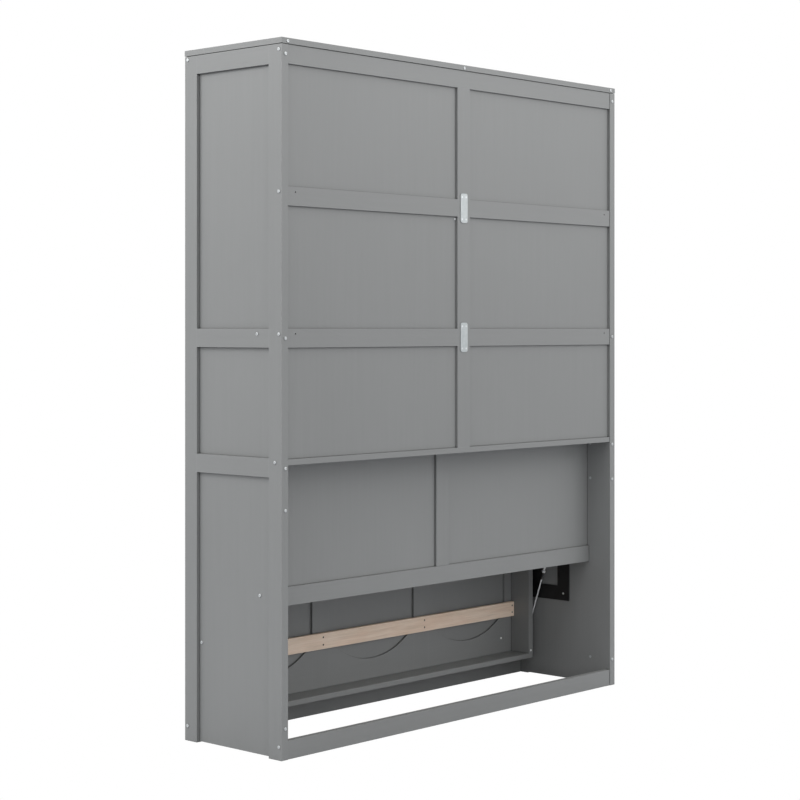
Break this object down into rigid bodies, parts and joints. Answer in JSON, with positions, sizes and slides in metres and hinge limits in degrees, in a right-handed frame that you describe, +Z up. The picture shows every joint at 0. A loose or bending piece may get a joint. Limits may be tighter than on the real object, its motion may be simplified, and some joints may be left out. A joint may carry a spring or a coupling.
{
  "type": "murphy wall bed",
  "caption": "Wall bed that folds down out of a panelled cabinet, with a slatted base behind arched front panels, gas struts and fold-out legs.",
  "frame": {"origin": "on the floor, in the middle of the closed bed's footprint, fittings included", "axes": "+Z up; +Y out of the cabinet's back, towards the wall, so the bed comes down towards -Y; right in a node's name is the +X side"},
  "size_m": [1.73, 0.486, 2.23],
  "materials": {
    "painted_wood": "satin grey paint over solid wood and board, faint grain",
    "bare_wood": "planed, unfinished light wood",
    "black_steel": "black powder coat",
    "zinc_steel": "bright zinc plate",
    "dark_steel": "dull steel, set in the wood",
    "strut_tube_silver": "satin silver paint",
    "rod_chrome": "ground and plated",
    "nylon": "moulded nylon"
  },
  "bodies": {
    "cabinet": {"back_centre_stiles": "painted_wood", "back_left_panels": "painted_wood", "back_middle_rail": "painted_wood", "back_plinth": "painted_wood", "back_right_panels": "painted_wood", "back_top_rail": "painted_wood", "back_upper_rail": "painted_wood", "barrel_nuts": "zinc_steel", "cabinet_bolts": "zinc_steel", "front_plinth": "painted_wood", "front_top_rail": "painted_wood", "headboard_bottom_rail": "painted_wood", "headboard_centre_stile": "painted_wood", "headboard_left_panel": "painted_wood", "headboard_right_panel": "painted_wood", "headboard_shelf": "painted_wood", "inner_cross_rail": "painted_wood", "left_front_stile": "painted_wood", "left_pivot_bolt": "zinc_steel", "left_pivot_plate": "black_steel", "left_rear_stile": "painted_wood", "left_side_panels": "painted_wood", "left_side_rails": "painted_wood", "left_strut_stud": "zinc_steel", "mending_plates": "zinc_steel", "right_front_stile": "painted_wood", "right_pivot_bolt": "zinc_steel", "right_pivot_plate": "black_steel", "right_rear_stile": "painted_wood", "right_side_panels": "painted_wood", "right_side_rails": "painted_wood", "right_strut_stud": "zinc_steel", "steel_screws": "zinc_steel", "top_board": "painted_wood"},
    "bed": {"facade_right_outer_stile": "painted_wood", "facade_left_outer_stile": "painted_wood", "facade_right_inner_stile": "painted_wood", "facade_left_inner_stile": "painted_wood", "facade_bottom_rails": "painted_wood", "facade_middle_rails": "painted_wood", "facade_top_rails": "painted_wood", "facade_panels": "painted_wood", "bed_right_rail": "painted_wood", "bed_left_rail": "painted_wood", "bed_head_rail": "painted_wood", "bed_foot_rail": "painted_wood", "slats": "bare_wood", "slat_screws": "dark_steel", "bed_screws": "zinc_steel", "pivot_bushes": "nylon", "strut_brackets": "black_steel", "pull_handles": "black_steel", "leg_brackets": "black_steel", "leg_pins": "zinc_steel"},
    "right_leg": {"right_leg": "painted_wood"},
    "left_leg": {"left_leg": "painted_wood"},
    "right_tube": {"right_strut_tube": "strut_tube_silver"},
    "right_rod": {"right_strut_rod": "rod_chrome"},
    "left_tube": {"left_strut_tube": "strut_tube_silver"},
    "left_rod": {"left_strut_rod": "rod_chrome"}
  },
  "joints": [
    {"name": "bed_fold", "type": "hinge", "parent": "cabinet", "child": "bed", "pos_m": [0, -0.142, 0.322], "axis": [1, 0, 0], "range_deg": [0, 90], "stiffness_Nm_per_rad": 137, "springref_deg": -36.38},
    {"name": "right_leg_fold", "type": "hinge", "parent": "bed", "child": "right_leg", "pos_m": [0.785, -0.2295, 2.088], "axis": [-1, 0, 0], "range_deg": [0, 90]},
    {"name": "right_tube_swing", "type": "hinge", "parent": "cabinet", "child": "right_tube", "pos_m": [0.817, 0.04, 0.7], "axis": [1, 0, 0], "range_deg": [0, 19.75]},
    {"name": "right_rod_slide", "type": "slide", "parent": "right_tube", "child": "right_rod", "axis": [0, -0.3207, -0.9472], "range_m": [-0.2108, 0]},
    {"name": "left_leg_fold", "type": "hinge", "parent": "bed", "child": "left_leg", "pos_m": [-0.785, -0.2295, 2.088], "axis": [-1, 0, 0], "range_deg": [0, 90]},
    {"name": "left_tube_swing", "type": "hinge", "parent": "cabinet", "child": "left_tube", "pos_m": [-0.817, 0.04, 0.7], "axis": [1, 0, 0], "range_deg": [0, 19.75]},
    {"name": "left_rod_slide", "type": "slide", "parent": "left_tube", "child": "left_rod", "axis": [0, -0.3207, -0.9472], "range_m": [-0.2108, 0]}
  ],
  "couplings": [
    {"joint": "right_tube_swing", "follows": "bed_fold", "ratio": 0.21934},
    {"joint": "right_rod_slide", "follows": "bed_fold", "m_per_rad": -0.13405},
    {"joint": "left_tube_swing", "follows": "bed_fold", "ratio": 0.21934},
    {"joint": "left_rod_slide", "follows": "bed_fold", "m_per_rad": -0.13405}
  ]
}
